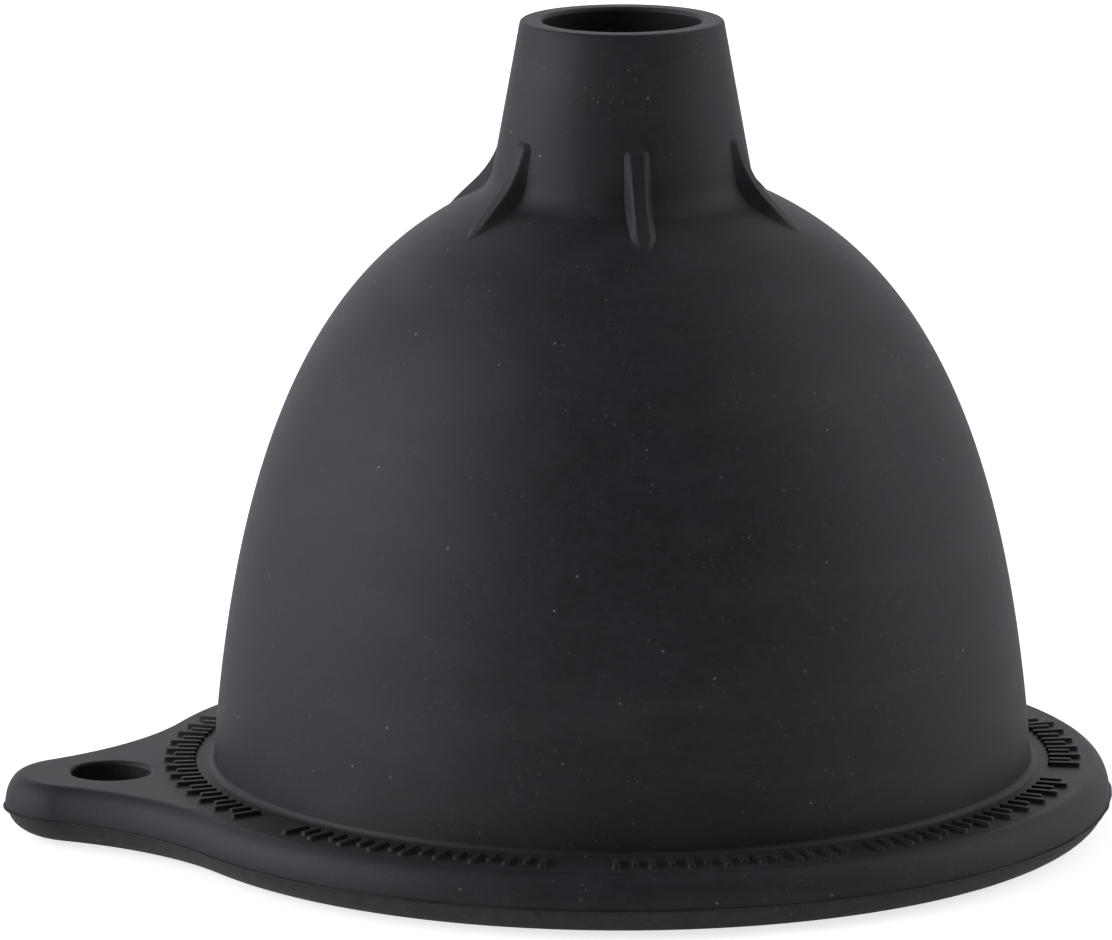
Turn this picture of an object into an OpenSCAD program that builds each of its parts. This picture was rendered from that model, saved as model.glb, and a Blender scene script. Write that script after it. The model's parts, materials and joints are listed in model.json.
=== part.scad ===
// One-piece moulded silicone funnel that stands on its mouth, spout up.
// Origin on the axis at the mouth, in the plane of the flange's underside.
// +Z runs up the spout, and the hanging tab points along -X. Millimetres.

/* [Overall] */
// Outer diameter of the bell where it meets the flange
bell_foot_d = 70.4; // [56:0.2:96]
// Overall height, from the flange's underside to the spout's tip
height = 69.5; // [56:0.5:100]
// Wall of the bell and the spout, measured square to the surface
wall = 1.9; // [1.2:0.1:3]

/* [Bell] */
// Inward lean of the bell's side at its foot, in degrees
foot_lean = 4.25; // [0:0.25:10]
// Slope of the bell's shoulder at the neck, in degrees below level
shoulder_slope = 25.7; // [10:0.1:40]
// How far the side holds its upright start, as a share of the bell's height
side_fullness = 0.66; // [0.4:0.01:0.8]
// How far the shoulder holds its slope, as a share of the shoulder's width
shoulder_fullness = 0.47; // [0.2:0.01:0.6]
// Radius of the fillet between the flange and the bell
foot_fillet = 0.6; // [0.4:0.1:2]
// Rounding of the mouth's inner edge
mouth_round = 0.8; // [0.3:0.1:1]

/* [Spout] */
// Length of the spout above the neck
spout_len = 14.5; // [11:0.5:30]
// Outer diameter of the spout's tip, which enters a bottle's neck
spout_tip_d = 17.3; // [12:0.1:26]
// Taper of the spout's side, in degrees from upright
spout_taper = 10.3; // [2:0.1:15]
// Radius of the fillet between the shoulder and the spout
neck_fillet = 3.4; // [0.6:0.1:6]
// Rounding of both edges of the spout's lip
lip_round = 0.35; // [0.1:0.05:0.5]

/* [Flange] */
// Width of the flange, from the bell's foot to its outer edge
flange_w = 6.8; // [6.2:0.1:12]
// Thickness of the flange and of the hanging tab
flange_t = 5.3; // [4:0.1:8]
// Height of the mould's parting line above the underside
parting_h = 2.4; // [1.5:0.1:3.5]
// How far the flange's upper half overhangs its lower half at the parting line
parting_step = 0.25; // [0.1:0.05:0.4]
// Width of the rounding above the parting line
top_round = 1.6; // [0.8:0.1:2]
// Width of the rounding below the parting line
bottom_round = 3.6; // [0.8:0.1:3.8]

/* [Hanging tab] */
// How far the tab reaches past the flange's edge
tab_len = 11.2; // [9:0.1:20]
// Radius of the tab's round end
tab_end_r = 6.8; // [5.6:0.1:9]
// Radius of the hollow curve that runs from the flange into the tab
tab_blend_r = 28; // [18:1:40]
// Diameter of the hanging hole
hole_d = 6.8; // [4:0.1:8.2]
// Distance from the hole's centre to the tab's end
hole_inset = 9.1; // [7.6:0.1:11]

/* [Vent ribs] */
// Number of ribs round the neck
rib_count = 6; // [3:1:8]
// Width of a rib
rib_w = 1.85; // [1.2:0.05:3]
// How far a rib runs up the spout from the neck
rib_up = 5.1; // [3:0.1:9]
// How far a rib runs out over the shoulder from the neck, to the point where it has sunk in
rib_out = 5.4; // [2.5:0.1:7]
// How far a rib stands out of the spout at its upper end
rib_start = 0.3; // [0.1:0.05:0.6]
// How far a rib stands out of the spout at its knee
rib_rise = 0.75; // [0.5:0.05:1.5]
// Height of a rib's knee above the neck
rib_knee_up = 1.6; // [0.8:0.1:2.5]
// How deep the outer end of a rib lies under the shoulder's straight slope
rib_sink = 0.45; // [0.3:0.05:1]

/* [Raised marks] */
// Width of a raised mark
mark_w = 0.6; // [0.4:0.05:1]
// Height of a raised mark above the flange
mark_h = 0.35; // [0.2:0.05:0.6]
// Distance from one mark to the next, along the row
mark_pitch = 1.5; // [1.2:0.1:3]
// Bare flange left inside and outside the marks
mark_margin = 0.95; // [0.3:0.05:1.3]
// Length of every second mark, as a share of the long ones
short_mark = 0.7; // [0.4:0.05:1]

/* [Hidden] */
silicone = [0.16, 0.16, 0.165];
// Facets of a full turn, and steps of a small arc and of the bell's curve
$fn = 180;
arc_steps = 8;
bell_steps = 28;
// Overshoot of a cutting solid past the faces that it cuts
over = 1;

foot_r = bell_foot_d / 2;
rim_r = foot_r + flange_w;
tip_r = spout_tip_d / 2;
hole_r = hole_d / 2;
neck_h = height - spout_len;
neck_r = tip_r + spout_len * tan(spout_taper);

// Angles, in the outline's plane, at which an edge leaves a corner
outward = 0;
up_bell = 90 + foot_lean;
down_shoulder = -shoulder_slope;
up_spout = 90 + spout_taper;
inward = 180;
down_spout = 270 + spout_taper;

// Where the bell's foot ends and the rim begins: the outer end of the foot's fillet
seam_r = foot_r + foot_fillet / tan(up_bell / 2);

function unit(angle) = [cos(angle), sin(angle)];

// The arc of radius r that rounds a corner whose edges leave it at angles a and b, with b above a.
// It runs from edge a to edge b.
function rounded(corner, a, b, r) =
    let (centre = corner + r / sin((b - a) / 2) * unit((a + b) / 2))
    [for (i = [0:arc_steps]) centre + r * unit(a + 270 + (b - a - 180) * i / arc_steps)];

function backwards(points) = [for (i = [len(points) - 1:-1:0]) points[i]];

// Outer corner of the neck, and the same corner on the inside of the wall
neck = [neck_r, neck_h];
neck_half = (up_spout - down_shoulder) / 2;
neck_inside = neck - wall / sin(neck_half) * unit((up_spout + down_shoulder) / 2);

foot_arc = rounded([foot_r, flange_t], outward, up_bell, foot_fillet);
neck_arc = rounded(neck, down_shoulder, up_spout, neck_fillet);
neck_arc_inside = rounded(neck_inside, down_shoulder, up_spout, neck_fillet + wall);

// The bell's side is one cubic curve from the foot's fillet to the neck's fillet
side = [
    foot_arc[arc_steps],
    foot_arc[arc_steps] + side_fullness * (neck_h - flange_t) * unit(up_bell),
    neck_arc[0] + shoulder_fullness * (foot_r - neck_r) * unit(down_shoulder),
    neck_arc[0]
];
function side_point(t) =
    pow(1 - t, 3) * side[0]
    + 3 * pow(1 - t, 2) * t * side[1]
    + 3 * (1 - t) * pow(t, 2) * side[2]
    + pow(t, 3) * side[3];
function side_run(t) =
    pow(1 - t, 2) * (side[1] - side[0])
    + 2 * (1 - t) * t * (side[2] - side[1])
    + pow(t, 2) * (side[3] - side[2]);
// A point of the side moved in by the wall, square to the curve
function inside_point(t) =
    let (run = side_run(t))
    side_point(t) + wall * [-run[1], run[0]] / norm(run);

// The spout's outer and inner radius at a height
function spout_r(z) = neck_r - (z - neck_h) * tan(spout_taper);
function bore_r(z) = spout_r(z) - wall / cos(spout_taper);

// The spout starts where the neck's fillet ends
spout_z = neck_arc[arc_steps][1];

bell_outside = concat(
    foot_arc,
    [for (i = [1:bell_steps - 1]) side_point(i / bell_steps)],
    neck_arc
);
bell_inside = concat(
    [for (i = [0:bell_steps - 1]) inside_point(i / bell_steps)],
    neck_arc_inside,
    [[bore_r(spout_z), spout_z]]
);
mouth_r = bell_inside[0][0] + bell_inside[0][1] * tan(foot_lean);

// The rounded edge of the flange and the tab, from the underside up: [inset, height] points
edge = concat(
    [for (i = [0:arc_steps]) let (a = 90 * i / arc_steps)
        [parting_step + bottom_round * (1 - sin(a)), parting_h * (1 - cos(a))]],
    [for (i = [0:arc_steps]) let (a = 90 * i / arc_steps)
        [top_round * (1 - cos(a)), parting_h + (flange_t - parting_h) * sin(a)]]
);
// The same edge on a round plate of radius r, and on a round hollow of radius r
function convex_edge(r) = [for (p = edge) [r - p[0], p[1]]];
function hollow_edge(r) = [for (p = edge) [r + p[0], p[1]]];

// How far the tab's round end stands proud of the hollow curves, so that they cross cleanly
end_proud = 0.1;
// Centre of the tab's end, and centre of the hollow curves on both of its sides,
// which leave the flange along its own edge and run into the tab's end
tab_x = rim_r + tab_len - tab_end_r;
rim_to_blend = rim_r + tab_blend_r;
end_to_blend = tab_end_r - end_proud + tab_blend_r;
blend_x = (pow(rim_to_blend, 2) - pow(end_to_blend, 2) + pow(tab_x, 2)) / (2 * tab_x);
blend_y = sqrt(pow(rim_to_blend, 2) - pow(blend_x, 2));
// Half of the flange's sector that the tab takes
tab_half = atan2(blend_y, blend_x);
hole_x = rim_r + tab_len - hole_inset;

// A rib's crest runs down the spout to its knee, then straight to the shoulder
rib_knee_z = neck_h + rib_knee_up;
rib_top_z = neck_h + rib_up;
rib_foot = [neck_r + rib_out, neck_h - rib_out * tan(shoulder_slope) - rib_sink];
rib_outline = [
    [neck_r - wall, rib_top_z],
    [spout_r(rib_top_z) + rib_start, rib_top_z],
    [spout_r(rib_knee_z) + rib_rise, rib_knee_z],
    rib_foot,
    [neck_r - wall, rib_foot[1]]
];

// Rows of raised marks, as angles from the tab where each row starts and ends
mark_rows = [
    [-28, 28], [37, 74], [82, 112], [116, 159],
    [167, 193], [201, 244], [248, 278], [286, 323]
];
mark_in_r = seam_r + mark_margin;
mark_len = rim_r - top_round - mark_margin - mark_in_r;
mark_turn = mark_pitch / (mark_in_r + mark_len / 2) * 180 / PI;

module bell() {
    color(silicone)
    rotate_extrude()
    polygon(concat(
        [[seam_r, 0]],
        bell_outside,
        backwards(bell_inside),
        backwards(rounded([mouth_r, 0], outward, up_bell, mouth_round))
    ));
}

module spout() {
    color(silicone)
    rotate_extrude()
    polygon(concat(
        [[bore_r(spout_z), spout_z], [spout_r(spout_z), spout_z]],
        backwards(rounded([tip_r, height], inward, down_spout, lip_round)),
        backwards(rounded([bore_r(height), height], down_spout, 360, lip_round))
    ));
}

module rim() {
    color(silicone)
    rotate_extrude(angle = 360 - 2 * tab_half, start = 180 + tab_half)
    polygon(concat([[seam_r, 0]], convex_edge(rim_r), [[seam_r, flange_t]]));
}

// The stretch between the flange and the tab's end, with its two hollow sides
module tab_web() {
    difference() {
        linear_extrude(flange_t)
        polygon([[0, 0], [-blend_x, blend_y], [-tab_x, 0], [-blend_x, -blend_y]]);
        translate([0, 0, -over])
        cylinder(r = seam_r, h = flange_t + 2 * over);
        for (side_y = [-blend_y, blend_y])
            translate([-blend_x, side_y, 0])
            rotate_extrude()
            polygon(concat(
                [[0, -over], [tab_blend_r + edge[0][0], -over]],
                hollow_edge(tab_blend_r),
                [[tab_blend_r + top_round, flange_t + over], [0, flange_t + over]]
            ));
    }
}

module tab_end() {
    translate([-tab_x, 0, 0])
    rotate_extrude()
    polygon(concat([[0, 0]], convex_edge(tab_end_r), [[0, flange_t]]));
}

module hanging_tab() {
    color(silicone)
    difference() {
        union() {
            tab_web();
            tab_end();
        }
        translate([-hole_x, 0, -over])
        cylinder(r = hole_r, h = flange_t + 2 * over);
    }
}

// Rib number i, counted anticlockwise; the tab lies midway between two ribs
module vent_rib(i) {
    color(silicone)
    rotate([0, 0, 180 + (i - 0.5) * 360 / rib_count])
    difference() {
        rotate([90, 0, 0])
        linear_extrude(rib_w, center = true)
        polygon(rib_outline);
        rotate_extrude()
        polygon(concat([[0, 0]], bell_outside, [[tip_r, height], [0, height]]));
    }
}

// Plain radial bars in rows round the flange, long and short in turn
module raised_marks() {
    color(silicone)
    for (row = mark_rows) {
        steps = floor((row[1] - row[0]) / mark_turn);
        first = (row[0] + row[1] - steps * mark_turn) / 2;
        for (i = [0:steps])
            rotate([0, 0, 180 + first + i * mark_turn])
            translate([mark_in_r, -mark_w / 2, flange_t])
            cube([mark_len * (i % 2 == 0 ? 1 : short_mark), mark_w, mark_h]);
    }
}

bell();
spout();
rim();
hanging_tab();
for (i = [1:rib_count])
    vent_rib(i);
raised_marks();
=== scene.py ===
"""Looks of the one-piece silicone funnel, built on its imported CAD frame. Metres, +Z up the spout."""
import json
import math

import bpy
import numpy as np
from mathutils import Matrix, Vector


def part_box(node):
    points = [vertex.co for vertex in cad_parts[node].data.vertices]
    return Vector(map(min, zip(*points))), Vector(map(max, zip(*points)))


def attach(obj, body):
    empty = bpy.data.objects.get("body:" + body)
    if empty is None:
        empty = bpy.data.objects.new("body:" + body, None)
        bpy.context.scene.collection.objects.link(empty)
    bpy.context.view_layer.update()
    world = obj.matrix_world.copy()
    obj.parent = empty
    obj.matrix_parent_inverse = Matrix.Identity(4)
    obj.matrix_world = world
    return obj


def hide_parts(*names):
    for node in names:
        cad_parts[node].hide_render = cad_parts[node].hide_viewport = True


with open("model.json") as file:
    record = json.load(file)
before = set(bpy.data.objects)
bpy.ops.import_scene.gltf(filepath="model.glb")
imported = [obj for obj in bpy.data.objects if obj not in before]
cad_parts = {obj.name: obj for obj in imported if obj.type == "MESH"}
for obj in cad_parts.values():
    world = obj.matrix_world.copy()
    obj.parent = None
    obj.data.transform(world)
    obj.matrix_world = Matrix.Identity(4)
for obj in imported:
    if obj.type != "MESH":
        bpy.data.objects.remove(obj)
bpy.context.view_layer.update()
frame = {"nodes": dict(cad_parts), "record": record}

MM = 0.001

# ---------------------------------------------------------------------------
# Sizes that the CAD frame gives
# ---------------------------------------------------------------------------
seam_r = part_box("bell")[1].x
spout_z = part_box("bell")[1].z
rim_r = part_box("rim")[1].y
flange_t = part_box("rim")[1].z
spout_base_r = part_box("spout")[1].x
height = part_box("spout")[1].z
tab_tip = -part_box("hanging_tab")[0].x
mark_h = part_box("raised_marks")[1].z - flange_t
rib_nodes = sorted(name for name in frame["nodes"] if name.startswith("vent_rib_"))
rib_top_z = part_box(rib_nodes[0])[1].z
hang_hole = next(m for m in frame["record"]["mounts"] if m["name"] == "hang_hole")
hole_x = -hang_hole["pos_m"][0]
hole_r = hang_hole["dims"]["r_mm"] * MM

# ---------------------------------------------------------------------------
# Shape of the moulding, as in the CAD
# ---------------------------------------------------------------------------
WALL = 1.9 * MM
FOOT_LEAN = math.radians(4.25)
SHOULDER_SLOPE = math.radians(25.7)
SIDE_FULLNESS = 0.66
SHOULDER_FULLNESS = 0.47
FOOT_FILLET = 0.6 * MM
MOUTH_ROUND = 0.8 * MM
SPOUT_TAPER = math.radians(10.3)
NECK_FILLET = 3.4 * MM
LIP_ROUND = 0.35 * MM
PARTING_H = 2.4 * MM
PARTING_STEP = 0.25 * MM
TOP_ROUND = 1.6 * MM
BOTTOM_ROUND = 3.6 * MM
TAB_END_R = 6.8 * MM
TAB_BLEND_R = 28 * MM
RIB_W = 1.85 * MM
RIB_OUT = 5.4 * MM
RIB_START = 0.3 * MM
RIB_RISE = 0.75 * MM
RIB_KNEE_UP = 1.6 * MM
RIB_SINK = 0.45 * MM
MARK_W = 0.6 * MM
MARK_PITCH = 1.5 * MM
MARK_MARGIN = 0.95 * MM
SHORT_MARK = 0.7
MARK_ROWS = ((-28, 28), (37, 74), (82, 112), (116, 159),
             (167, 193), (201, 244), (248, 278), (286, 323))

# Details that only the looks have
FLASH = 0.18 * MM          # how far the parting line's flash stands out of the upper half
FLASH_HALF = 0.08 * MM     # half of the flash's thickness
HOLE_ROUND = 0.4 * MM      # rounding of the hanging hole's edges
RIB_FOOT = 0.30 * MM       # how far a rib's foot spreads beyond its sides
RIB_SIDE = 0.75 * MM       # width of a rib's rounded side, seen square to the wall
RIB_BLUNT = 0.45 * MM      # the same at a rib's upper end
RIB_HEAD = 0.8 * MM        # length over which a rib's upper end rounds in plan
RIB_BEND = 2.4 * MM        # how far from its knee a rib's crest starts to bend
RIB_POINT = 2.6 * MM       # length over which a rib narrows at its lower end
RIB_NARROWING = 0.5        # how much of its width it loses there
RIB_DIP = 0.05 * MM        # how deep a rib's foot dips into the wall
SUNK = 0.3 * MM            # how deep a rib or a mark reaches into what carries it
MARK_FOOT = 0.10 * MM      # how far a mark's foot spreads beyond its sides
MARK_CORNER = 0.2 * MM     # rounding of a mark's corners in plan
MARK_ROUND = 0.12 * MM     # rounding of a mark's upper edges
MARK_WANDER = 0.002        # spread of the marks' angles round their places, in radians

TURN = 2 * math.pi
UP_BELL = math.pi / 2 + FOOT_LEAN
UP_SPOUT = math.pi / 2 + SPOUT_TAPER
DOWN_SHOULDER = -SHOULDER_SLOPE
TAB_SIDE = math.pi         # the tab's direction round the axis
FULL_STEPS = 360           # facets of a full turn

chance = np.random.default_rng(11)


# ---------------------------------------------------------------------------
# Outlines: runs of (points, normals) in a plane, the material on the left
# ---------------------------------------------------------------------------
def unit(angle):
    return np.array([math.cos(angle), math.sin(angle)])


def line(start, end, steps=1):
    """A straight run, its normals on the right."""
    points = np.linspace(start, end, steps + 1)
    run = (points[-1] - points[0]) / np.linalg.norm(points[-1] - points[0])
    return points, np.tile([run[1], -run[0]], (steps + 1, 1))


def arc(centre, radii, start, end, steps):
    """A run of an ellipse about a centre, its normals away from the centre."""
    angles = np.linspace(start, end, steps + 1)
    way = np.stack([np.cos(angles), np.sin(angles)], 1)
    out = way / radii
    return centre + way * radii, out / np.linalg.norm(out, axis=1)[:, None]


def corner(point, a, b, radius, steps=12):
    """The arc that rounds a corner, from the edge at angle a to the edge at angle b."""
    centre = point + radius / math.sin((b - a) / 2) * unit((a + b) / 2)
    return arc(centre, np.array([radius, radius]), a + 1.5 * math.pi, b + math.pi / 2, steps)


def hollow(run):
    """The same run where the material is on the arc's other side."""
    return run[0], -run[1]


def flipped(run):
    """The same run the other way round."""
    return run[0][::-1], run[1][::-1]


def chain(*runs):
    """Joins runs end to end into one smooth run."""
    points, normals = [runs[0][0]], [runs[0][1]]
    for more_points, more_normals in runs[1:]:
        points.append(more_points[1:])
        normals.append(more_normals[1:])
    return np.concatenate(points), np.concatenate(normals)


# ---------------------------------------------------------------------------
# Meshes
# ---------------------------------------------------------------------------
def grid_faces(rows, columns, close_rows=False, close_columns=False):
    """Quads of a grid of vertices stored row by row."""
    r = np.arange(rows if close_rows else rows - 1)
    c = np.arange(columns if close_columns else columns - 1)
    r, c = np.meshgrid(r, c, indexing="ij")
    r2, c2 = (r + 1) % rows, (c + 1) % columns
    quads = [r * columns + c, r2 * columns + c, r2 * columns + c2, r * columns + c2]
    return np.stack(quads, -1).reshape(-1, 4)


def welded(vertices, quads, normals):
    """Joins vertices that share a place; quads that collapse lose a corner, or go altogether."""
    _, first, joined = np.unique(np.round(vertices, 9), axis=0,
                                 return_index=True, return_inverse=True)
    faces, kept = [], []
    for quad, corners in zip(joined.ravel()[quads], normals):
        own = [c for c in range(4) if quad[c] != quad[c - 1]]
        if len(own) > 2 and len(set(quad[own])) == len(own):
            faces.append(quad[own].tolist())
            kept.extend(corners[own])
    return vertices[first], faces, np.array(kept)


def make_piece(name, node, vertices, faces, normals):
    """A closed mesh with its own corner normals that stands for a CAD node."""
    mesh = bpy.data.meshes.new(name)
    mesh.from_pydata(np.asarray(vertices).tolist(), [], faces)
    mesh.polygons.foreach_set("use_smooth", np.ones(len(mesh.polygons), bool))
    mesh.normals_split_custom_set(np.asarray(normals).tolist())
    mesh.validate()
    piece = bpy.data.objects.new(name, mesh)
    bpy.context.scene.collection.objects.link(piece)
    piece.data.materials.append(silicone)
    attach(piece, "root")
    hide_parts(node)
    return piece


def revolve(name, node, runs, begin=0.0, sweep=TURN, bulge=None):
    """Turns a closed outline of smooth runs in (radius, height) about the axis."""
    points = np.concatenate([run[0][:-1] for run in runs])
    at_start = np.concatenate([run[1][:-1] for run in runs])
    at_end = np.concatenate([run[1][1:] for run in runs])
    full = sweep >= TURN
    steps = round(FULL_STEPS * sweep / TURN)
    columns = steps if full else steps + 1
    angles = begin + sweep * np.arange(columns) / steps
    radius = np.tile(points[:, 0], (columns, 1))
    if bulge is not None:
        radius = radius + bulge(angles[:, None], points[None, :, 0])
    vertices = np.stack([radius * np.cos(angles)[:, None], radius * np.sin(angles)[:, None],
                         np.tile(points[:, 1], (columns, 1))], -1).reshape(-1, 3)
    n = len(points)
    quads = grid_faces(columns, n, full, True)

    def turned(normals, turn):
        return np.stack([normals[:, 0] * np.cos(angles[turn]),
                         normals[:, 0] * np.sin(angles[turn]), normals[:, 1]], -1)

    turn, row = quads[:, 0] // n, quads[:, 0] % n
    after = quads[:, 1] // n
    normals = np.stack([turned(at_start[row], turn), turned(at_start[row], after),
                        turned(at_end[row], after), turned(at_end[row], turn)], 1).reshape(-1, 3)
    faces = quads.tolist()
    if not full:
        for cap, angle, side in ((np.arange(n), angles[0], -1),
                                 ((columns - 1) * n + np.arange(n)[::-1], angles[-1], 1)):
            faces.append(cap.tolist())
            facing = side * np.array([-math.sin(angle), math.cos(angle), 0])
            normals = np.concatenate([normals, np.tile(facing, (n, 1))])
    return make_piece(name, node, vertices, faces, normals)


# ---------------------------------------------------------------------------
# Silicone
# ---------------------------------------------------------------------------
def make_silicone():
    material = bpy.data.materials.new("matte_silicone")
    material.use_nodes = True
    tree = material.node_tree
    link = tree.links.new
    shader = tree.nodes["Principled BSDF"]
    shader.inputs["Specular IOR Level"].default_value = 0.5
    shader.inputs["IOR"].default_value = 1.42
    shader.inputs["Sheen Weight"].default_value = 0.02
    shader.inputs["Sheen Roughness"].default_value = 0.5
    place = tree.nodes.new("ShaderNodeTexCoord").outputs["Object"]

    def noise(scale, detail=3.0, roughness=0.55):
        made = tree.nodes.new("ShaderNodeTexNoise")
        made.inputs["Scale"].default_value = scale
        made.inputs["Detail"].default_value = detail
        made.inputs["Roughness"].default_value = roughness
        link(place, made.inputs["Vector"])
        return made.outputs["Fac"]

    def spread(value, low, high, low_out=0.0, high_out=1.0):
        made = tree.nodes.new("ShaderNodeMapRange")
        settings = {"From Min": low, "From Max": high, "To Min": low_out, "To Max": high_out}
        for socket, number in settings.items():
            made.inputs[socket].default_value = number
        link(value, made.inputs["Value"])
        return made.outputs["Result"]

    def maths(operation, a, b):
        made = tree.nodes.new("ShaderNodeMath")
        made.operation = operation
        for socket, value in zip(made.inputs, (a, b)):
            if isinstance(value, float):
                socket.default_value = value
            else:
                link(value, socket)
        return made.outputs[0]

    def mix(factor, a, b):
        made = tree.nodes.new("ShaderNodeMix")
        made.data_type = "RGBA"
        link(factor, made.inputs[0])
        for socket, value in ((made.inputs[6], a), (made.inputs[7], b)):
            if isinstance(value, tuple):
                socket.default_value = value
            else:
                link(value, socket)
        return made.outputs[2]

    def specks(scale, size, strength):
        """Round dots of uneven strength where random points of space lie close to the surface."""
        made = tree.nodes.new("ShaderNodeTexVoronoi")
        made.inputs["Scale"].default_value = scale
        link(place, made.inputs["Vector"])
        dot = spread(made.outputs["Distance"], size * scale, 0.3 * size * scale)
        uneven = spread(made.outputs["Color"], 0.2, 1.0, 0.0, strength)
        return maths("MULTIPLY", dot, uneven)

    # Pale smears several millimetres long, lying round the bell; clouds; and a fine mottle
    stretch = tree.nodes.new("ShaderNodeMapping")
    stretch.inputs["Scale"].default_value = (1, 1, 3.2)
    link(place, stretch.inputs["Vector"])
    smear = noise(75, 4.0, 0.6)
    link(stretch.outputs["Vector"], smear.node.inputs["Vector"])
    smear = spread(smear, 0.5, 0.78)
    cloud = spread(noise(190), 0.3, 0.7)
    fine = spread(noise(1500, 2.0), 0.3, 0.7)
    mottle = maths("ADD", maths("MULTIPLY", cloud, 0.45), maths("MULTIPLY", fine, 0.55))
    rubber = mix(mottle, (0.0105, 0.0099, 0.0130, 1), (0.0245, 0.0234, 0.0290, 1))
    rubber = mix(maths("MULTIPLY", smear, 0.55), rubber, (0.038, 0.038, 0.042, 1))
    # The rim's lower half, below the parting line, is painted paler in rough, uneven patches: painted
    # reflection of the bright floor below it
    height_here = tree.nodes.new("ShaderNodeSeparateXYZ")
    link(place, height_here.inputs["Vector"])
    low = spread(height_here.outputs["Z"], PARTING_H, PARTING_H - 0.3 * MM)
    painted_floor_light = maths("MULTIPLY", low, spread(noise(900, 4.0, 0.7), 0.35, 0.65, 0.25, 0.75))
    rubber = mix(painted_floor_light, rubber, (0.052, 0.052, 0.054, 1))
    # Dust: many faint grains, fewer clear ones and a few bright ones
    clumps = spread(noise(240, 4.0, 0.65), 0.42, 0.66)
    faint = maths("MULTIPLY", specks(1800, 0.13 * MM, 0.20), clumps)
    clear = maths("MULTIPLY", specks(1100, 0.12 * MM, 0.42), clumps)
    bright = specks(430, 0.15 * MM, 0.85)
    dust = maths("MAXIMUM", maths("MAXIMUM", faint, clear), bright)
    link(mix(dust, rubber, (0.42, 0.42, 0.41, 1)), shader.inputs["Base Color"])
    link(spread(mottle, 0.0, 1.0, 0.50, 0.60), shader.inputs["Roughness"])
    # The fine grain of the mould
    bump = tree.nodes.new("ShaderNodeBump")
    bump.inputs["Strength"].default_value = 0.3
    bump.inputs["Distance"].default_value = 0.02 * MM
    grain = maths("ADD", noise(2600, 2.0), maths("MULTIPLY", noise(520), 1.5))
    link(grain, bump.inputs["Height"])
    link(bump.outputs["Normal"], shader.inputs["Normal"])
    return material


silicone = make_silicone()

# ---------------------------------------------------------------------------
# Bell and spout
# ---------------------------------------------------------------------------
foot = np.array([seam_r - FOOT_FILLET / math.tan(UP_BELL / 2), flange_t])
neck_half = (UP_SPOUT - DOWN_SHOULDER) / 2
neck = np.array([spout_base_r, spout_z]) - NECK_FILLET / math.tan(neck_half) * unit(UP_SPOUT)
neck_inside = neck - WALL / math.sin(neck_half) * unit((UP_SPOUT + DOWN_SHOULDER) / 2)


def spout_point(z):
    return np.array([neck[0] - (z - neck[1]) * math.tan(SPOUT_TAPER), z])


def bore_point(z):
    return spout_point(z) - np.array([WALL / math.cos(SPOUT_TAPER), 0])


foot_arc = hollow(corner(foot, 0, UP_BELL, FOOT_FILLET))
neck_arc = hollow(corner(neck, DOWN_SHOULDER, UP_SPOUT, NECK_FILLET))
neck_arc_inside = corner(neck_inside, DOWN_SHOULDER, UP_SPOUT, NECK_FILLET + WALL)


def side_run(steps=110):
    """The bell's side, one cubic curve from the foot's fillet to the neck's."""
    a, d = foot_arc[0][-1], neck_arc[0][0]
    b = a + SIDE_FULLNESS * (neck[1] - flange_t) * unit(UP_BELL)
    c = d + SHOULDER_FULLNESS * (foot[0] - neck[0]) * unit(DOWN_SHOULDER)
    t = np.linspace(0, 1, steps + 1)[:, None]
    points = (1 - t) ** 3 * a + 3 * (1 - t) ** 2 * t * b + 3 * (1 - t) * t ** 2 * c + t ** 3 * d
    run = (1 - t) ** 2 * (b - a) + 2 * (1 - t) * t * (c - b) + t ** 2 * (d - c)
    run /= np.linalg.norm(run, axis=1)[:, None]
    return points, np.stack([run[:, 1], -run[:, 0]], 1)


side = side_run()
tip = spout_point(height)
bore_tip = bore_point(height)
outer_lip = corner(tip, math.pi, 1.5 * math.pi + SPOUT_TAPER, LIP_ROUND)
inner_lip = corner(bore_tip, 1.5 * math.pi + SPOUT_TAPER, TURN, LIP_ROUND)


def make_bell():
    inside = side[0] - WALL * side[1], -side[1]
    mouth = np.array([inside[0][0, 0] + inside[0][0, 1] * math.tan(FOOT_LEAN), 0])
    mouth_arc = corner(mouth, 0, UP_BELL, MOUTH_ROUND)
    seam_low, seam_high = np.array([seam_r, 0]), np.array([seam_r, flange_t])
    return revolve("bell_skin", "bell", [
        line(seam_low, seam_high),
        chain(foot_arc, side, neck_arc),
        line(neck_arc[0][-1], bore_point(spout_z)),
        chain(
            line(bore_point(spout_z), neck_arc_inside[0][-1]),
            flipped(neck_arc_inside),
            flipped(inside),
            line(inside[0][0], mouth_arc[0][-1], 4),
            flipped(mouth_arc),
        ),
        line(mouth_arc[0][0], seam_low),
    ])


def make_spout():
    return revolve("spout_cone", "spout", [
        line(bore_point(spout_z), spout_point(spout_z)),
        chain(
            line(spout_point(spout_z), outer_lip[0][-1], 20),
            flipped(outer_lip),
            line(outer_lip[0][0], inner_lip[0][-1], 2),
            flipped(inner_lip),
            line(inner_lip[0][0], bore_point(spout_z), 20),
        ),
    ])


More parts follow.
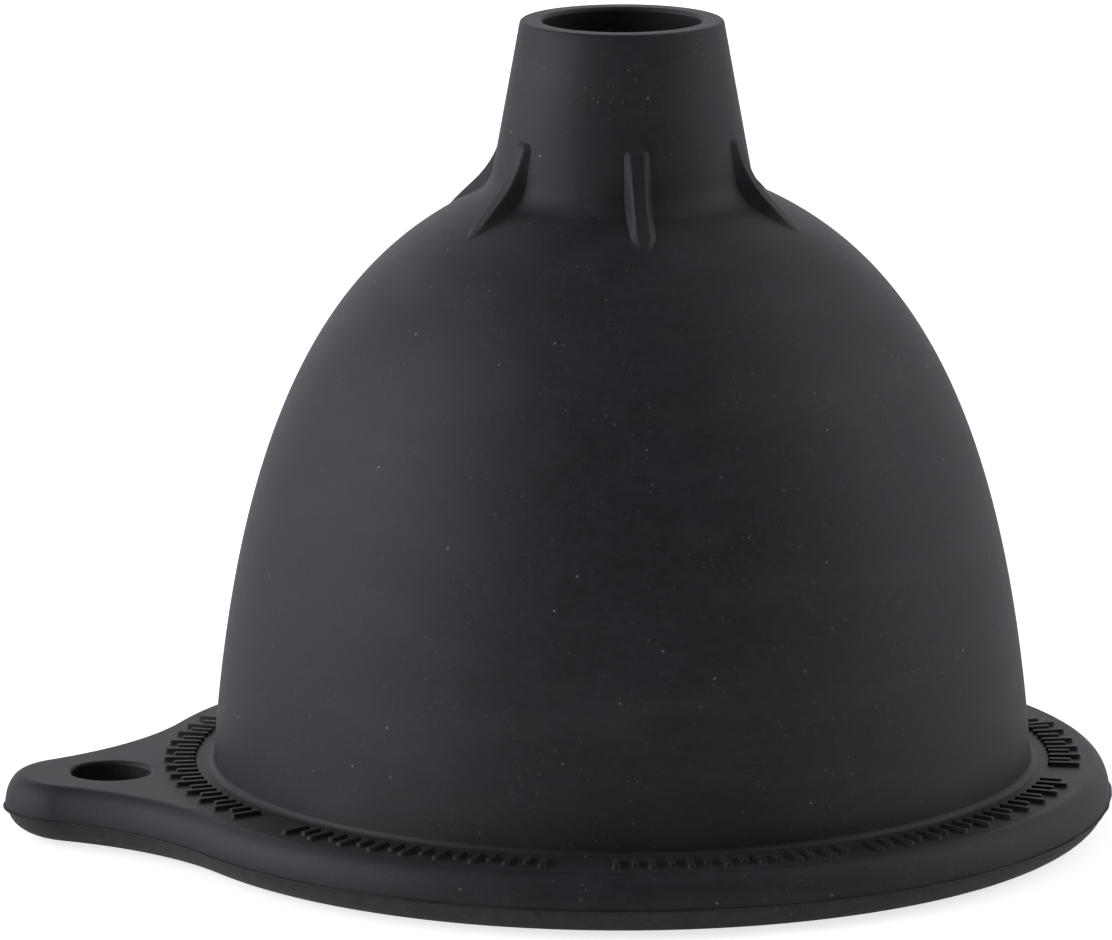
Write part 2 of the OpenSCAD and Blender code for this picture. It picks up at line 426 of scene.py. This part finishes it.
# ---------------------------------------------------------------------------
# Flange and hanging tab, with the flash of the mould's parting line round both
# ---------------------------------------------------------------------------
def edge_runs():
    """The flange's rounded edge from its underside up, as (out from the edge, height)."""
    low, high = PARTING_H - FLASH_HALF, PARTING_H + FLASH_HALF
    reach = FLASH - FLASH_HALF
    return [
        arc(np.array([-PARTING_STEP - BOTTOM_ROUND, low]), np.array([BOTTOM_ROUND, low]),
            -math.pi / 2, 0, 16),
        chain(
            line(np.array([-PARTING_STEP, low]), np.array([reach, low])),
            arc(np.array([reach, PARTING_H]), np.array([FLASH_HALF, FLASH_HALF]),
                -math.pi / 2, math.pi / 2, 6),
            line(np.array([reach, high]), np.array([0, high])),
        ),
        arc(np.array([-TOP_ROUND, high]), np.array([TOP_ROUND, flange_t - high]),
            0, math.pi / 2, 16),
    ]


# The hollow curves that run from the flange into the tab's end touch both circles
tab_x = tab_tip - TAB_END_R
rim_to_blend = rim_r + TAB_BLEND_R
end_to_blend = TAB_END_R + TAB_BLEND_R
blend_x = (rim_to_blend ** 2 - end_to_blend ** 2 + tab_x ** 2) / (2 * tab_x)
blend_y = math.sqrt(rim_to_blend ** 2 - blend_x ** 2)
tab_half = math.atan2(blend_y, blend_x)

wave_turns = np.array([7, 13, 22, 39, 64])
wave_starts = chance.uniform(0, TURN, len(wave_turns))


def ragged(along):
    """The flash's uneven reach, as a share of its mean; along runs 0 to 1 round the rim."""
    return 0.16 * np.sum([np.sin(TURN * turns * along + start)
                          for turns, start in zip(wave_turns, wave_starts)], axis=0)


def make_rim():
    runs = [(run[0] + np.array([rim_r, 0]), run[1]) for run in edge_runs()]
    low, high = np.array([seam_r, 0]), np.array([seam_r, flange_t])

    def flash(angle, radius):
        return np.clip((radius - rim_r) / FLASH, 0, 1) * FLASH * ragged(angle / TURN)

    return revolve("flange_ring", "rim",
                   [line(low, runs[0][0][0]), *runs, line(runs[-1][0][-1], high), line(high, low)],
                   TAB_SIDE + tab_half, TURN - 2 * tab_half, flash)


def make_tab():
    """Stations round the tab, each swept over its edge, top, hole and underside."""
    end = np.array([-tab_x, 0.0])
    upper = np.array([-blend_x, blend_y])
    to_end = end - upper
    first = math.atan2(-upper[1], -upper[0])
    last = math.atan2(to_end[1], to_end[0])
    blend = hollow(arc(upper, np.array([TAB_BLEND_R] * 2), first, last, 48))
    turn = last + math.pi
    tip_arc = arc(end, np.array([TAB_END_R] * 2), turn, TURN - turn, 96)
    lower = blend[0][::-1] * [1, -1], blend[1][::-1] * [1, -1]
    free, out = chain(blend, tip_arc, lower)
    count = len(free)
    wall_steps = 6
    arc_count = 72
    # the two walls against the flange and the one against the bell, as shares between fixed ends
    spans = np.linspace(0, 1, wall_steps + 1)[1:]
    around = np.linspace(math.pi + tab_half, math.pi - tab_half, arc_count + 1)
    seam = seam_r * np.stack([np.cos(around), np.sin(around)], 1)

    def loop(offset):
        """The closed loop whose free part lies offset out of the edge."""
        edge = free + offset * out
        return np.concatenate([
            edge,
            edge[-1] + (seam[0] - edge[-1]) * spans[:, None],
            seam[1:-1],
            seam[-1] + (edge[0] - seam[-1]) * np.concatenate([[0], spans[:-1]])[:, None],
        ])

    hole = np.array([-hole_x, 0.0])
    outline = loop(0.0)
    ray = outline - hole
    ray /= np.linalg.norm(ray, axis=1)[:, None]
    size = len(outline)
    rings, starts, ends, kinds = [], [], [], []

    def add(loops, heights, normals, kind):
        """Rings of one smooth run; the last is where the next run starts."""
        for k in range(len(loops) - 1):
            rings.append(np.column_stack([loops[k], np.full(size, heights[k])]))
            starts.append(normals[k])
            ends.append(normals[k + 1])
            kinds.append(kind)

    for points, normals in edge_runs():
        add([loop(p[0]) for p in points], points[:, 1], normals, "edge")
    top_out, low_out = -TOP_ROUND, -PARTING_STEP - BOTTOM_ROUND
    shares = np.linspace(0, 1, 9)
    hole_edge = hole + (hole_r + HOLE_ROUND) * ray

    def flat(offset, z, inward):
        ways = [loop(offset) * (1 - s) + hole_edge * s for s in shares]
        ways = ways if inward else ways[::-1]
        add(ways, [z] * len(ways), [(0, 1 if inward else -1)] * len(ways), "flat")

    flat(top_out, flange_t, True)
    wall = chain(
        arc(np.array([HOLE_ROUND, flange_t - HOLE_ROUND]), np.array([HOLE_ROUND] * 2),
            math.pi / 2, math.pi, 6),
        line(np.array([0, flange_t - HOLE_ROUND]), np.array([0, HOLE_ROUND]), 2),
        arc(np.array([HOLE_ROUND, HOLE_ROUND]), np.array([HOLE_ROUND] * 2),
            math.pi, 1.5 * math.pi, 6),
    )
    add([hole + (hole_r + p[0]) * ray for p in wall[0]], wall[0][:, 1], wall[1], "hole")
    flat(low_out, 0.0, False)

    vertices = np.concatenate(rings)
    quads = grid_faces(len(rings), size, True, True)
    quads = quads[:, ::-1]
    ring, station = quads // size, quads % size
    row = np.min(np.where(ring.max(1)[:, None] - ring.min(1)[:, None] > 1,
                          len(rings) - 1, ring), axis=1)
    across = np.concatenate([out, np.zeros((size - count, 2))])
    normals = np.zeros((len(quads), 4, 3))
    face = np.cross(vertices[quads[:, 2]] - vertices[quads[:, 0]],
                    vertices[quads[:, 3]] - vertices[quads[:, 1]])
    face /= np.maximum(np.linalg.norm(face, axis=1), 1e-12)[:, None]
    kinds = np.array(kinds)
    starts, ends = np.array(starts), np.array(ends)
    on_free = station.max(1) < count
    for c in range(4):
        profile = np.where((ring[:, c] == row)[:, None], starts[row], ends[row])
        way = np.where((kinds[row] == "hole")[:, None], ray[station[:, c]], across[station[:, c]])
        made = np.column_stack([way * profile[:, :1], profile[:, 1]])
        plain = (kinds[row] == "edge") & ~on_free
        normals[:, c] = np.where(plain[:, None], face, made)
    return make_piece("tab_plate", "hanging_tab", *welded(vertices, quads, normals))


# ---------------------------------------------------------------------------
# Vent ribs
# ---------------------------------------------------------------------------
def evenly(path, count):
    """The same path as that many points at even steps along it."""
    along = np.concatenate([[0], np.cumsum(np.linalg.norm(np.diff(path, axis=0), axis=1))])
    steps = np.linspace(0, along[-1], count)
    return np.stack([np.interp(steps, along, path[:, k]) for k in (0, 1)], 1), along[-1]


def softened(points, cut, steps=12):
    """A path of three points whose middle corner is cut back and rounded."""
    before, at, after = points
    enter = at + cut * (before - at) / np.linalg.norm(before - at)
    leave = at + cut * (after - at) / np.linalg.norm(after - at)
    t = np.linspace(0, 1, steps + 1)[:, None]
    bend = (1 - t) ** 2 * enter + 2 * (1 - t) * t * at + t ** 2 * leave
    return np.concatenate([[before], bend, [after]])


def smooth(x):
    x = np.clip(x, 0, 1)
    return x * x * (3 - 2 * x)


def make_rib(index, rows=110, columns=47):
    """One rib: a patch that rises from the wall to the crest, closed inside the wall."""
    knee_z = neck[1] + RIB_KNEE_UP
    end = neck + [RIB_OUT, -RIB_OUT * math.tan(SHOULDER_SLOPE) - RIB_SINK]
    crest, length = evenly(softened([spout_point(rib_top_z) + [RIB_START, 0],
                                     spout_point(knee_z) + [RIB_RISE, 0], end], RIB_BEND), rows)
    outer = np.concatenate([side[0], neck_arc[0][1:], line(neck_arc[0][-1], tip, 80)[0][1:]])[::-1]
    on_rib = (outer[:, 1] < rib_top_z) & (outer[:, 0] < end[0])
    base, _ = evenly(np.concatenate([[spout_point(rib_top_z)], outer[on_rib]]), rows)
    run = np.gradient(base, axis=0)
    run /= np.linalg.norm(run, axis=1)[:, None]
    into = np.stack([run[:, 1], -run[:, 0]], 1)

    half = RIB_W / 2 + RIB_FOOT
    share = np.linspace(-1, 1, columns)
    across = half * np.sign(share) * np.abs(share) ** 0.7
    along = np.linspace(0, length, rows)[:, None]
    narrowed = 1 - RIB_NARROWING * smooth((along - length + RIB_POINT) / RIB_POINT)
    head = np.clip(along / RIB_HEAD, 0, 1)
    narrowed = narrowed * (0.5 + 0.5 * np.sqrt(head * (2 - head)))
    across = across[None, :] * narrowed
    lift = smooth((half * narrowed - np.abs(across)) / RIB_SIDE) * smooth(along / RIB_BLUNT)
    radius = np.sqrt(base[:, :1] ** 2 - across ** 2)
    dip = RIB_DIP * (1 - smooth(lift * 6))
    top = np.stack([radius + lift * (crest[:, :1] - radius) + dip * into[:, :1],
                    -across,
                    base[:, 1:] + lift * (crest[:, 1:] - base[:, 1:]) + dip * into[:, 1:]], -1)
    deep = np.stack([radius + SUNK * into[:, :1], -across,
                     base[:, 1:] + SUNK * into[:, 1:] + 0 * across], -1)
    facing = np.cross(np.gradient(top, axis=0), np.gradient(top, axis=1))
    facing /= np.linalg.norm(facing, axis=2)[:, :, None]

    points = np.concatenate([top.reshape(-1, 3), deep.reshape(-1, 3)])
    size = rows * columns
    upper = grid_faces(rows, columns)
    lower = upper[:, ::-1] + size
    ring = np.array([*range(columns),
                     *[r * columns + columns - 1 for r in range(1, rows)],
                     *[(rows - 1) * columns + c for c in range(columns - 2, -1, -1)],
                     *[r * columns for r in range(rows - 2, 0, -1)]])
    after = np.roll(ring, -1)
    rim_faces = np.stack([ring, after, after + size, ring + size], 1)
    quads = np.concatenate([upper, lower, rim_faces])
    face = np.cross(points[quads[:, 2]] - points[quads[:, 0]],
                    points[quads[:, 3]] - points[quads[:, 1]])
    face /= np.maximum(np.linalg.norm(face, axis=1), 1e-15)[:, None]
    normals = np.repeat(face[:, None, :], 4, 1)
    normals[:len(upper)] = facing.reshape(-1, 3)[upper]
    middle = face[len(upper) // 2]
    if middle[0] + middle[2] < 0:
        quads, normals = quads[:, ::-1], -normals[:, ::-1]
    angle = TAB_SIDE + (index - 0.5) * TURN / len(rib_nodes)
    c, s = math.cos(angle), math.sin(angle)
    spin = np.array([[c, s, 0], [-s, c, 0], [0, 0, 1]])
    return make_piece(f"rib_moulding_{index}", f"vent_rib_{index}", points @ spin,
                      quads.tolist(), normals.reshape(-1, 3) @ spin)


# ---------------------------------------------------------------------------
# Raised marks
# ---------------------------------------------------------------------------
def mark_rings(length):
    """Closed loops of one bar's rounded outline, from inside the flange up to its top."""
    turn = np.linspace(0, math.pi / 2, 6)
    layers = [(MARK_FOOT, -SUNK), (MARK_FOOT, 0.0)]
    layers += [(MARK_FOOT * (1 - math.sin(t)), MARK_FOOT * (1 - math.cos(t)))
               for t in turn[1:4]]
    layers += [(-MARK_ROUND * (1 - math.cos(t)),
                mark_h - MARK_ROUND + MARK_ROUND * math.sin(t)) for t in turn]
    loops = []
    for grow, z in layers:
        radius = MARK_CORNER + grow
        half_l, half_w = length / 2 - MARK_CORNER, MARK_W / 2 - MARK_CORNER
        ring = []
        for q, (sx, sy) in enumerate(((1, 1), (-1, 1), (-1, -1), (1, -1))):
            for a in np.linspace(0, math.pi / 2, 5) + q * math.pi / 2:
                ring.append((sx * half_l + radius * math.cos(a),
                             sy * half_w + radius * math.sin(a), z))
        loops.append(ring)
    return np.array(loops)


def make_marks():
    inner = seam_r + MARK_MARGIN
    full = rim_r - TOP_ROUND - MARK_MARGIN - inner
    pitch = MARK_PITCH / (inner + full / 2)
    vertices, faces = [], []
    for begin, finish in MARK_ROWS:
        begin, finish = math.radians(begin), math.radians(finish)
        steps = math.floor((finish - begin) / pitch)
        start = (begin + finish - steps * pitch) / 2
        for i in range(steps + 1):
            length = full * (1 if i % 2 == 0 else SHORT_MARK)
            loops = mark_rings(length)
            layers, around = loops.shape[:2]
            angle = TAB_SIDE + start + i * pitch + chance.normal(0, MARK_WANDER)
            x = loops[..., 0] + inner + length / 2
            y = loops[..., 1]
            points = np.stack([x * math.cos(angle) - y * math.sin(angle),
                               x * math.sin(angle) + y * math.cos(angle),
                               loops[..., 2] + flange_t], -1).reshape(-1, 3)
            base = len(vertices) * layers * around
            quads = grid_faces(layers, around, False, True)[:, ::-1] + base
            faces += quads.tolist()
            faces.append([base + j for j in reversed(range(around))])
            faces.append([base + (layers - 1) * around + j for j in range(around)])
            vertices.append(points)
    vertices = np.concatenate(vertices)
    mesh = bpy.data.meshes.new("mark_bars")
    mesh.from_pydata(vertices.tolist(), [], faces)
    mesh.polygons.foreach_set("use_smooth", np.ones(len(mesh.polygons), bool))
    mesh.validate()
    piece = bpy.data.objects.new("mark_bars", mesh)
    bpy.context.scene.collection.objects.link(piece)
    piece.data.materials.append(silicone)
    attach(piece, "root")
    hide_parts("raised_marks")


make_bell()
make_spout()
make_rim()
make_tab()
for number in range(1, len(rib_nodes) + 1):
    make_rib(number)
make_marks()

# ---------------------------------------------------------------------------
# Floor, light and camera
# ---------------------------------------------------------------------------
CAMERA_AZIMUTH = math.radians(-6.96)
CAMERA_PITCH = math.radians(11.81)   # how far the camera looks down
CAMERA_PAN = math.radians(0.429)
CAMERA_REACH = 0.739                 # distance from the axis
CAMERA_UP = 0.185                    # height above the floor
CAMERA_LENS = 285.4                  # in millimetres, on a sensor 36 mm wide


def make_floor():
    far, low = 30.0, -0.05 * MM
    mesh = bpy.data.meshes.new("floor")
    mesh.from_pydata([(-far, -far, low), (far, -far, low), (far, far, low), (-far, far, low)],
                     [], [(0, 1, 2, 3)])
    floor = bpy.data.objects.new("floor", mesh)
    bpy.context.scene.collection.objects.link(floor)
    material = bpy.data.materials.new("pale_floor")
    material.use_nodes = True
    tree = material.node_tree
    shader = tree.nodes["Principled BSDF"]
    shader.inputs["Base Color"].default_value = (0.9, 0.9, 0.9, 1)
    shader.inputs["Roughness"].default_value = 0.9
    shader.inputs["Specular IOR Level"].default_value = 0.0
    shader.inputs["Emission Color"].default_value = (1, 1, 1, 1)
    seen = tree.nodes.new("ShaderNodeLightPath").outputs["Is Camera Ray"]
    glow = tree.nodes.new("ShaderNodeMapRange")
    glow.inputs["To Min"].default_value = FLOOR_GLOW
    glow.inputs["To Max"].default_value = FLOOR_SEEN
    tree.links.new(seen, glow.inputs["Value"])
    tree.links.new(glow.outputs["Result"], shader.inputs["Emission Strength"])
    floor.data.materials.append(material)


# Soft lights of the studio: where each one stands, as (azimuth, elevation) in degrees with
# azimuth 0 on the camera's side and 90 on its right; its half width in degrees; its strength
LIGHTS = (
    (-90, 12, 45, 2.6),
    (90, 12, 45, 1.05),
    (180, 15, 50, 0.85),
    (-135, 15, 45, 0.35),
    (135, 15, 45, 0.32),
    (0, 50, 40, 0.17),
    (-90, 50, 40, 0.28),
    (90, 50, 40, 0.68),
)
# The floor's own light, as it falls on the object and as the camera sees it
FLOOR_GLOW, FLOOR_SEEN = 0.13, 0.75


def make_world():
    world = bpy.data.worlds.new("studio")
    bpy.context.scene.world = world
    world.use_nodes = True
    tree = world.node_tree
    link = tree.links.new
    background = tree.nodes["Background"]
    background.inputs["Color"].default_value = (1.0, 0.985, 1.06, 1)
    way = tree.nodes.new("ShaderNodeTexCoord").outputs["Generated"]
    total = None
    for azimuth, elevation, half_width, strength in LIGHTS:
        a, e = math.radians(azimuth), math.radians(elevation)
        aim = tree.nodes.new("ShaderNodeVectorMath")
        aim.operation = "DOT_PRODUCT"
        aim.inputs[1].default_value = (math.sin(a) * math.cos(e), -math.cos(a) * math.cos(e),
                                       math.sin(e))
        link(way, aim.inputs[0])
        glow = tree.nodes.new("ShaderNodeMapRange")
        glow.interpolation_type = "SMOOTHSTEP"
        glow.inputs["From Min"].default_value = math.cos(math.radians(half_width))
        glow.inputs["To Max"].default_value = strength
        link(aim.outputs["Value"], glow.inputs["Value"])
        if total is None:
            total = glow.outputs["Result"]
            continue
        both = tree.nodes.new("ShaderNodeMath")
        both.operation = "ADD"
        link(total, both.inputs[0])
        link(glow.outputs["Result"], both.inputs[1])
        total = both.outputs[0]
    link(total, background.inputs["Strength"])
    backdrop = tree.nodes.new("ShaderNodeBackground")
    backdrop.inputs["Color"].default_value = (1, 1, 1, 1)
    pick = tree.nodes.new("ShaderNodeMixShader")
    link(tree.nodes.new("ShaderNodeLightPath").outputs["Is Camera Ray"], pick.inputs["Fac"])
    link(background.outputs["Background"], pick.inputs[1])
    link(backdrop.outputs["Background"], pick.inputs[2])
    link(pick.outputs["Shader"], tree.nodes["World Output"].inputs["Surface"])


def make_camera():
    camera = bpy.data.objects.new("camera", bpy.data.cameras.new("camera"))
    bpy.context.scene.collection.objects.link(camera)
    place = Matrix.Translation((CAMERA_REACH * math.sin(CAMERA_AZIMUTH),
                                -CAMERA_REACH * math.cos(CAMERA_AZIMUTH), CAMERA_UP))
    camera.matrix_world = (place @ Matrix.Rotation(CAMERA_AZIMUTH, 4, "Z")
                           @ Matrix.Rotation(math.pi / 2 - CAMERA_PITCH, 4, "X")
                           @ Matrix.Rotation(CAMERA_PAN, 4, "Y"))
    camera.data.sensor_width = 36
    camera.data.lens = CAMERA_LENS
    camera.data.clip_start, camera.data.clip_end = 0.01, 100
    bpy.context.scene.camera = camera


make_floor()
make_world()
make_camera()
bpy.context.scene.view_settings.view_transform = "Standard"
